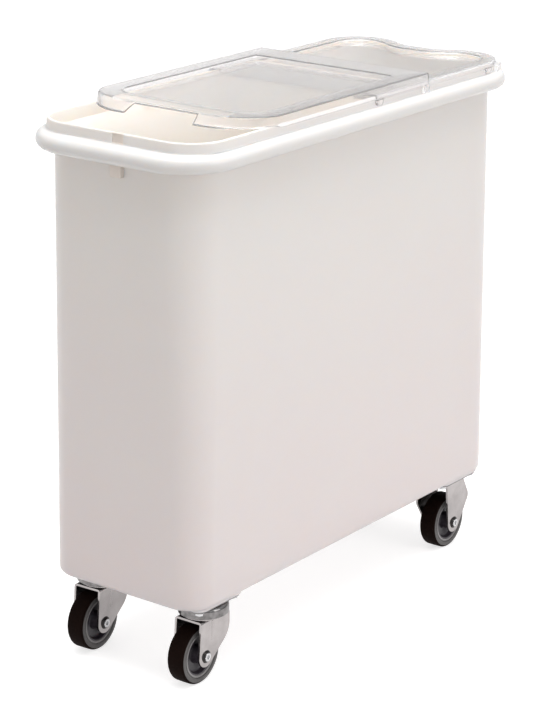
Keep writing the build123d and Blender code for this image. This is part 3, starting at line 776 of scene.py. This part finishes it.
# Front lid: the same clear sheet, drawn with a sunk panel, a front skirt that slopes out and down
# to a hand notch, and side skirts that run outside the rear lid. A hooked foot at each rear
# corner reaches under the rear lid's skirt and keeps the two together.
front_lid_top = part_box("front_lid")[1].z
front_pan_depth = 7.9 * mm
front_pan_top = front_lid_top - front_pan_depth
front_pan_under = front_pan_top - sheet
front_skirt_low = lip_top + 0.4 * mm
side_skirt_low = front_skirt_low - 2.6 * mm
front_lid_rear = 136.0 * mm
front_top_y = -243.0 * mm
front_top_half_width = 141.5 * mm
front_slope = 21.0 * mm / (front_lid_top - front_skirt_low)
side_slope = 1.6 * mm / (front_lid_top - side_skirt_low)
corner_slope = 29.0 * mm / (front_lid_top - front_skirt_low)
front_corner_top = 50.0 * mm
rear_corner_round = 2.5 * mm
front_sheet_share = math.hypot(1, front_slope)
pan_half_width = front_top_half_width - 26.5 * mm
pan_front = front_top_y + 33.0 * mm
pan_rear = front_lid_rear - 46.0 * mm
pan_front_corner = 26.0 * mm
pan_rear_corner = 7.0 * mm
notch_x = np.concatenate([np.linspace(0, 47, 12), np.linspace(48, 58, 21), [60.0]]) * mm
notch_half_width = 56.0 * mm
notch_run = 5.0 * mm
notch_rise = 10.0 * mm
front_wall_y = -250.0 * mm
skirt_step_y = -196.0 * mm
skirt_step_run = 8.0 * mm
rear_gap_half_width = 140.6 * mm
lid_corner_steps = 37
lid_side_steps = 32


def lid_outline(half_width, front, rear, front_corner, rear_corner):
    """Round the front lid or its panel: the front runs straight to its corner, with close points
    where the notch ends, then come a corner arc, a straight side, a corner arc and the rear."""
    front_x, front_y = half_width - front_corner, front + front_corner
    rear_x, rear_y = half_width - rear_corner, rear - rear_corner
    straight_x = np.append(notch_x, front_x)
    straight = np.stack([straight_x, np.full(len(straight_x), front)], axis=-1)
    first_arc = arc(front_x, front_y, front_corner, -90, 0, lid_corner_steps)[1:]
    side_y = np.linspace(front_y, rear_y, lid_side_steps)[1:]
    side = np.stack([np.full(len(side_y), half_width), side_y], axis=-1)
    second_arc = arc(rear_x, rear_y, rear_corner, 0, 90, 6)[1:]
    back_x = np.linspace(rear_x, 0, 14)[1:]
    back = np.stack([back_x, np.full(len(back_x), rear)], axis=-1)
    return mirrored_round(np.concatenate([straight, first_arc, side, second_arc, back]))


def lid_wall(level, inset):
    """The outer wall at one level, moved in by the inset. The front and sides lean out on the way
    down, and the inset is longer at the front, where the wall slopes."""
    drop = front_lid_top - level
    return lid_outline(
        front_top_half_width + side_slope * drop - inset,
        front_top_y - front_slope * drop + inset * front_sheet_share,
        front_lid_rear - inset,
        front_corner_top + corner_slope * drop - inset,
        max(rear_corner_round - inset, 0.4 * mm),
    )


def pan_wall(inset):
    """The wall of the panel, moved in by the inset from its upper edge."""
    return lid_outline(
        pan_half_width - inset,
        pan_front + inset,
        pan_rear - inset,
        pan_front_corner - inset,
        pan_rear_corner - inset,
    )


def wall_at(levels, inset):
    """The outer wall with a level for each point: between its outlines at the top and at the foot
    of the side skirt, as far as the level is between the two."""
    upper, lower = lid_wall(front_lid_top, inset), lid_wall(side_skirt_low, inset)
    share = ((front_lid_top - levels) / (front_lid_top - side_skirt_low))[:, None]
    return np.concatenate([upper + share * (lower - upper), levels[:, None]], axis=1)


# The skirt's lower edge has a level for each point: low at the sides, a step up to the front, a
# curve up into the hand notch, and at the rear, over the rear lid, only as deep as the panel.
foot_line = lid_wall(side_skirt_low, 0)
step_share = np.clip((skirt_step_y - foot_line[:, 1]) / skirt_step_run, 0, 1)
edge_levels = side_skirt_low + (front_skirt_low - side_skirt_low) * step_share
notch_share = np.clip((notch_half_width - np.abs(foot_line[:, 0])) / notch_run, 0, 1)
notch_share *= foot_line[:, 1] < front_wall_y
edge_levels += notch_rise * (1 - (1 - notch_share) ** 1.5)
over_rear_lid = foot_line[:, 1] > front_lid_rear - 0.1 * mm
over_rear_lid &= np.abs(foot_line[:, 0]) < rear_gap_half_width
edge_levels[over_rear_lid] = front_pan_under

front_rows = []
pan_profile = softened(
    [
        (pan_slope * front_pan_depth + pan_margin, front_pan_top),
        (pan_slope * front_pan_depth, front_pan_top),
        (0.0, front_lid_top),
        (-pan_margin, front_lid_top),
    ],
    [1.4 * mm, 1.6 * mm],
)
for inset, level in pan_profile:
    front_rows.append(at_level(pan_wall(inset), level))
edge_round = 2.6 * mm
edge_reach = 2 * edge_round
edge_profile = [(edge_reach, front_lid_top), (0.0, front_lid_top), (0.0, front_lid_top - edge_reach)]
for inset, level in softened(edge_profile, [edge_round], steps=7)[1:-1]:
    front_rows.append(wall_at(np.full(len(foot_line), level), inset))
skirt_top = front_lid_top - edge_round
edge_ease = 0.45 * mm
eased_levels = edge_levels + edge_ease
for share in np.linspace(0, 1, 5)[1:]:
    front_rows.append(wall_at(skirt_top + share * (eased_levels - skirt_top), 0.0))
for inset, drop in (
    (edge_ease / 3, edge_ease * 2 / 3),
    (edge_ease, edge_ease),
    (sheet - edge_ease, edge_ease),
    (sheet - edge_ease / 3, edge_ease * 2 / 3),
):
    front_rows.append(wall_at(eased_levels - drop, inset))
under = front_lid_top - sheet
for share in np.linspace(0, 1, 5):
    front_rows.append(wall_at(eased_levels + share * (under - eased_levels), sheet))
under_edge = pan_slope * sheet - sheet
under_foot = pan_slope * (front_pan_depth + sheet) - sheet
pan_under_profile = softened(
    [
        (under_edge - pan_margin, under),
        (under_edge, under),
        (under_foot, front_pan_under),
        (under_foot + pan_margin, front_pan_under),
    ],
    [1.0 * mm, 1.6 * mm],
)
for inset, level in pan_under_profile:
    front_rows.append(at_level(pan_wall(inset), level))
front_lid = grid_piece("front_lid_sheet", np.stack(front_rows), clear_sheet)

skirt_side = 143.1 * mm
foot_gap = 0.5 * mm
foot_low = bead_top + foot_gap
foot_length = 12.0 * mm
foot_root = side_skirt_low + 0.5 * mm - foot_low
toe_top = rear_lid_low - foot_gap - foot_low
toe_reach = sheet + 2.4 * mm
foot_shape = [
    (0.0, foot_root),
    (0.0, 0.0),
    (toe_reach, 0.0),
    (toe_reach, toe_top),
    (sheet, toe_top),
    (sheet, foot_root),
]
foot_shape = softened(foot_shape, [1.8 * mm, 1.0 * mm, 0.8 * mm, 0.6 * mm])
front_lid_pieces = [front_lid]
for side, hand in ((1, "right"), (-1, "left")):
    front_lid_pieces.append(
        extruded(
            f"{hand}_lid_foot",
            foot_shape,
            (side * skirt_side, front_lid_rear, foot_low),
            (-side, 0, 0),
            (0, 0, 1),
            (0, -1, 0),
            start=0.0,
            stop=foot_length,
            edge=lid_edge,
            material=clear_sheet,
        )
    )
for piece in front_lid_pieces:
    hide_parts("front_lid")
    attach(piece, "front_lid")


# Wheels: a soft rubber tyre moulded on a dark nylon hub that turns on the axle bolt. The tyre is of
# one rubber, painted as lit and shaded copies: a near-black brown tread as painted shade and grey
# side walls as painted light. A thin pale ring shows where the hub's rim meets the tyre.
def turned(name, profile, centre, axis, material, steps=96):
    """A closed profile of (along the axis, out from it) turned round the axis: each point goes to
    the centre plus its first value along the axis, plus its radius times the cosine of the angle
    along one line square to the axis and the sine along the other."""
    axis = np.asarray(axis, float)
    start_line = np.array([0, 0, 1.0]) if abs(axis[2]) < 0.5 else np.array([0, 1.0, 0])
    across_axis = np.cross(start_line, axis)
    angle = np.linspace(0, 2 * math.pi, steps, endpoint=False)
    along, radius = np.asarray(profile, float).T
    points = (
        np.asarray(centre)
        + along[:, None, None] * axis
        + (radius[:, None] * np.cos(angle))[..., None] * across_axis
        + (radius[:, None] * np.sin(angle))[..., None] * start_line
    )
    return grid_piece(name, points, material, loop=True)


# The tread and the side walls are lit and shaded copies of one rubber: the tread is painted
# near-black as painted shade, the side walls grey as painted light.
tread_painted_shade = shaded(
    "tread_painted_shade",
    (0.0040, 0.0016, 0.0010),
    (0.0085, 0.0034, 0.0022),
    patch=9 * mm,
    roughness=0.75,
    roughness_change=0.1,
    grain=0.9 * mm,
    bump=0.05 * mm,
    Specular_IOR_Level=0.05,
)
side_wall_painted_light = shaded(
    "side_wall_painted_light",
    (0.10, 0.095, 0.093),
    (0.07, 0.065, 0.064),
    patch=7 * mm,
    roughness=0.45,
    roughness_change=0.1,
    grain=0.8 * mm,
    bump=0.04 * mm,
    Specular_IOR_Level=0.4,
)
hub_nylon = shaded(
    "hub_nylon",
    (0.040, 0.033, 0.042),
    (0.026, 0.021, 0.027),
    patch=8 * mm,
    roughness=0.3,
    roughness_change=0.08,
    grain=0.7 * mm,
    bump=0.03 * mm,
)
rim_nylon = shaded(
    "rim_nylon",
    (0.26, 0.25, 0.25),
    (0.20, 0.19, 0.19),
    patch=8 * mm,
    roughness=0.35,
    roughness_change=0.08,
    grain=0.7 * mm,
    bump=0.03 * mm,
)
wheel_radius = 40.0 * mm
tyre_half = 13.0 * mm
tyre_round = 3.2 * mm
hub_radius = 29.0 * mm
hub_half = 17.9 * mm


def wheel_line(corner):
    """The middle of a wheel and the direction of its axle, one long, as its joint gives it."""
    low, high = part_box(f"{corner}_tyre")
    joint = next(j for j in frame["joints"] if j["name"] == f"{corner}_wheel_spin")
    axle = np.array(joint["axis"], float)
    return np.array((low + high) / 2), axle / np.linalg.norm(axle)


tread_inner = (tyre_half - 2.2 * mm, hub_radius + 0.2 * mm)
tread_round = (tyre_half - 3.4 * mm, wheel_radius - 3.3 * mm)
tread_profile = np.concatenate(
    [
        [(-tread_inner[0], tread_inner[1])],
        arc(-tread_round[0], tread_round[1], tyre_round, 180, 95, 7),
        [(0.0, wheel_radius)],
        arc(*tread_round, tyre_round, 85, 0, 7),
        [tread_inner],
    ]
)
half_hub = [
    (11.4 * mm, hub_radius - 0.2 * mm),
    (12.0 * mm, hub_radius - 0.8 * mm),
    (12.0 * mm, hub_radius - 2.4 * mm),
    (11.4 * mm, hub_radius - 3.2 * mm),
    (6.0 * mm, hub_radius - 4.2 * mm),
    (4.4 * mm, hub_radius - 5.4 * mm),
    (3.6 * mm, hub_radius - 7.6 * mm),
    (3.5 * mm, 16 * mm),
    (4.2 * mm, 13 * mm),
    (6.5 * mm, 11.3 * mm),
    (hub_half - 0.8 * mm, 10.8 * mm),
    (hub_half, 10.0 * mm),
    (hub_half, 6.7 * mm),
]
hub_profile = half_hub + [(-along, radius) for along, radius in half_hub[::-1]]
for corner in corners:
    centre, axle = wheel_line(corner)
    tread = turned(f"{corner}_tread", tread_profile, centre, axle, tread_painted_shade)
    wheel_pieces = [(tread, "tyre", "tyre_rubber")]
    for side, hand in ((1, "outer"), (-1, "inner")):
        wall = [
            (side * (tyre_half - 3.0 * mm), wheel_radius - 2.4 * mm),
            (side * (tyre_half - 0.9 * mm), wheel_radius - 1.9 * mm),
            (side * (tyre_half - 0.2 * mm), wheel_radius - 2.8 * mm),
            (side * tyre_half, wheel_radius - 4.2 * mm),
            (side * tyre_half, hub_radius + 3.6 * mm),
            (side * (tyre_half - 0.3 * mm), hub_radius + 3.0 * mm),
            (side * (tyre_half - 1.0 * mm), hub_radius + 2.7 * mm),
            (side * (tyre_half - 1.0 * mm), hub_radius + 1.4 * mm),
            (side * (tyre_half - 3.0 * mm), hub_radius + 0.4 * mm),
        ]
        ring = turned(f"{corner}_{hand}_side_wall", wall, centre, axle, side_wall_painted_light)
        wheel_pieces.append((ring, "tyre", "tyre_rubber"))
        pale = [
            (side * (tyre_half - 3.2 * mm), hub_radius - 1.6 * mm),
            (side * (tyre_half - 3.2 * mm), hub_radius + 1.2 * mm),
            (side * (tyre_half - 0.6 * mm), hub_radius + 1.4 * mm),
            (side * (tyre_half - 0.2 * mm), hub_radius + 1.0 * mm),
            (side * (tyre_half - 0.2 * mm), hub_radius - 0.4 * mm),
            (side * (tyre_half - 0.6 * mm), hub_radius - 1.0 * mm),
        ]
        ring = turned(f"{corner}_{hand}_rim_ring", pale, centre, axle, rim_nylon)
        wheel_pieces.append((ring, "wheel_hub", "hub_plastic"))
    hub = turned(f"{corner}_hub", hub_profile, centre, axle, hub_nylon)
    wheel_pieces.append((hub, "wheel_hub", "hub_plastic"))
    for piece, node, slot in wheel_pieces:
        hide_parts(f"{corner}_{node}")
        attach(piece, f"{corner}_wheel")


# Caster metal: forks and plates pressed from sheet steel and bright plated, with the sharp edges
# broken in the press. An axle bolt with a domed head goes through each fork, and a nut holds it.
# A dark ring round the head and the head's outer faces are painted shadow of the gap round it.
def finished_copy(name, node, material, bevel, merge=0.02 * mm, sharp=30):
    """The solid of a node with its loose triangles joined, flat faces made whole, and every sharp
    edge rounded by the bevel."""
    mesh = frame["nodes"][node].data.copy()
    mesh.name = name
    work = bmesh.new()
    work.from_mesh(mesh)
    bmesh.ops.remove_doubles(work, verts=work.verts, dist=merge)
    bmesh.ops.dissolve_limit(
        work, angle_limit=math.radians(0.5), verts=work.verts, edges=work.edges, delimit=set()
    )
    work.to_mesh(mesh)
    work.free()
    mesh.materials.clear()
    mesh.materials.append(material)
    mesh.polygons.foreach_set("use_smooth", np.ones(len(mesh.polygons), bool))
    mesh.set_sharp_from_angle(angle=math.radians(sharp))
    piece = bpy.data.objects.new(name, mesh)
    bpy.context.scene.collection.objects.link(piece)
    rounding = piece.modifiers.new("edges", "BEVEL")
    rounding.width = bevel
    rounding.segments = 2
    rounding.limit_method = "ANGLE"
    rounding.angle_limit = math.radians(sharp)
    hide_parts(node)
    return piece


# The plating is given a darker colour than bright plating, with darker patches: partly the steel's
# own tone, partly painted dark reflections.
plated_steel = shaded(
    "plated_steel",
    (0.43, 0.405, 0.40),
    (0.25, 0.235, 0.235),
    patch=24 * mm,
    roughness=0.15,
    roughness_change=0.04,
    grain=1.2 * mm,
    bump=0.03 * mm,
    Metallic=1.0,
)
bolt_steel = shaded(
    "bolt_steel",
    (0.62, 0.62, 0.63),
    (0.42, 0.42, 0.43),
    patch=5 * mm,
    roughness=0.16,
    roughness_change=0.05,
    grain=0.7 * mm,
    bump=0.02 * mm,
    Metallic=1.0,
)
# Nearly black steel for the ring under the bolt head and the head's outer faces: painted shadow.
painted_shadow_steel = shaded(
    "painted_shadow_steel",
    (0.045, 0.042, 0.042),
    (0.025, 0.023, 0.023),
    patch=4 * mm,
    roughness=0.3,
    roughness_change=0.08,
    grain=0.6 * mm,
    bump=0.02 * mm,
    Metallic=1.0,
)
# The race and the plates are painted in patches from bright to near-black: painted reflections.
race_steel_painted_reflection = shaded(
    "race_steel_painted_reflection",
    (0.30, 0.29, 0.29),
    (0.04, 0.038, 0.038),
    patch=7 * mm,
    roughness=0.12,
    roughness_change=0.04,
    grain=1.2 * mm,
    bump=0.03 * mm,
    Metallic=1.0,
)
fork_half = 21.5 * mm
bright_head = 5.6 * mm
# A thin dark ring under the bolt head: painted shadow of the gap round the head.
shadow_ring_profile = [
    (fork_half + 0.02 * mm, 7.0 * mm),
    (fork_half + 0.02 * mm, 8.7 * mm),
    (fork_half + 0.5 * mm, 8.5 * mm),
    (fork_half + 0.8 * mm, 8.0 * mm),
    (fork_half + 0.8 * mm, 7.0 * mm),
]
for corner in corners:
    turning = f"{corner}_swivel" if corner.startswith("front") else "bin"
    centre, axle = wheel_line(corner)
    shadow_ring = turned(f"{corner}_washer", shadow_ring_profile, centre, axle, painted_shadow_steel, steps=48)
    fork = finished_copy(f"{corner}_pressed_fork", f"{corner}_fork", plated_steel, bevel=0.45 * mm)
    bolt = finished_copy(f"{corner}_domed_bolt", f"{corner}_axle_bolt", bolt_steel, bevel=0.5 * mm)
    bolt.data.materials.append(painted_shadow_steel)
    # Faces of the bolt farther from the axle's line than the bright dome are painted dark: painted
    # shadow of the gap round the head.
    faces = bolt.data.polygons
    middle = np.empty(len(faces) * 3)
    faces.foreach_get("center", middle)
    away = middle.reshape(-1, 3) - centre
    along = away @ axle
    from_axle = np.linalg.norm(away - along[:, None] * axle, axis=1)
    faces.foreach_set("material_index", (from_axle > bright_head).astype(np.int32))
    nut = finished_copy(f"{corner}_lock_nut", f"{corner}_axle_nut", bolt_steel, bevel=0.5 * mm)
    plate = finished_copy(f"{corner}_plate", f"{corner}_caster_plate", race_steel_painted_reflection, bevel=0.4 * mm)
    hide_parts(f"{corner}_axle_bolt")
    for piece, body, slot in (
        (shadow_ring, turning, "bolt_steel"),
        (fork, turning, "plated_steel"),
        (bolt, turning, "bolt_steel"),
        (nut, turning, "bolt_steel"),
        (plate, "bin", "plated_steel"),
    ):
        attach(piece, body)
    sleeve = frame["nodes"][f"{corner}_axle_sleeve"]
    sleeve.data.materials.clear()
    sleeve.data.materials.append(bolt_steel)


# Swivel forks and bearings of the front casters: each leg of a fork has a shallow rib pressed
# down it. A bell-shaped race spun from bright sheet steel is fixed under the plate, the dish of
# the fork turns under it on a ring of balls, and the kingpin holds them together. The race's
# dark and bright patches are painted reflections.
rib_place = 13.5 * mm
rib_width = 3.4 * mm
rib_share = 0.5
rib_low = 19.0 * mm
rib_high = 47.0 * mm
rib_profile = arc(0, -0.1 * mm, rib_width / 2, 0, 180, 9) * np.array([1, rib_share])
race_profile = np.concatenate(
    [
        [(0.0, 5.6 * mm), (0.0, 26.0 * mm)],
        arc(-6.6 * mm, 27.4 * mm, 6.6 * mm, 0, 90, 9),
        [(-14.0 * mm, 34.0 * mm)],
        arc(-14.2 * mm, 33.2 * mm, 0.8 * mm, 90, 180, 4),
        [(-14.9 * mm, 32.0 * mm), (-14.4 * mm, 31.5 * mm)],
        arc(-9.2 * mm, 28.9 * mm, 2.6 * mm, 90, 0, 7),
        [(-6.6 * mm, 5.6 * mm)],
    ]
)
for corner in corners[:2]:
    centre, axle = wheel_line(corner)
    rearward = np.cross((0, 0, 1.0), axle)
    for side, hand in ((1, "right"), (-1, "left")):
        rib = extruded(
            f"{corner}_{hand}_rib",
            rib_profile,
            centre + side * fork_half * axle + rib_place * rearward,
            rearward,
            side * axle,
            (0, 0, 1),
            start=rib_low,
            stop=rib_high,
            edge=0.25 * mm,
            material=plated_steel,
        )
        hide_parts(f"{corner}_fork")
        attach(rib, f"{corner}_swivel")
    low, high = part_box(f"{corner}_upper_race")
    middle = ((low.x + high.x) / 2, (low.y + high.y) / 2, high.z)
    race = turned(f"{corner}_spun_race", race_profile, middle, (0, 0, 1), race_steel_painted_reflection)
    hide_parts(f"{corner}_upper_race")
    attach(race, "bin")
    for part in ("kingpin", "ball_ring"):
        node = frame["nodes"][f"{corner}_{part}"]
        node.data.materials.clear()
        node.data.materials.append(bolt_steel)


# Plate screws: four plated steel screws go up through each caster plate into the tub's floor. Each
# has a hexagon head with a round washer face that bears on the plate.
hexagon_turns = np.radians(60 * np.arange(6))
hexagon = np.stack([np.cos(hexagon_turns), np.sin(hexagon_turns)], axis=-1)
screw_head_radius = 5.6 * mm
screw_head_height = 4.0 * mm
screw_spread = (22.5 * mm, 36.0 * mm)
face_profile = [
    (0.9 * mm, 4.0 * mm),
    (-0.02 * mm, 4.0 * mm),
    (-0.02 * mm, 6.6 * mm),
    (0.7 * mm, 6.6 * mm),
    (0.9 * mm, 6.3 * mm),
]
for corner in corners:
    low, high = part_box(f"{corner}_caster_plate")
    middle = (low + high) / 2
    for k, (sx, sy) in enumerate(((1, 1), (-1, 1), (-1, -1), (1, -1))):
        place = (middle.x + sx * screw_spread[0], middle.y + sy * screw_spread[1], low.z)
        head = extruded(
            f"{corner}_screw_{k + 1}",
            hexagon * screw_head_radius,
            place,
            (1, 0, 0),
            (0, 1, 0),
            (0, 0, -1),
            start=0.6 * mm,
            stop=screw_head_height,
            edge=0.6 * mm,
            material=bolt_steel,
        )
        face_name = f"{corner}_screw_face_{k + 1}"
        face = turned(face_name, face_profile, place, (0, 0, -1), bolt_steel, steps=24)
        for piece in (head, face):
            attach(piece, "bin")
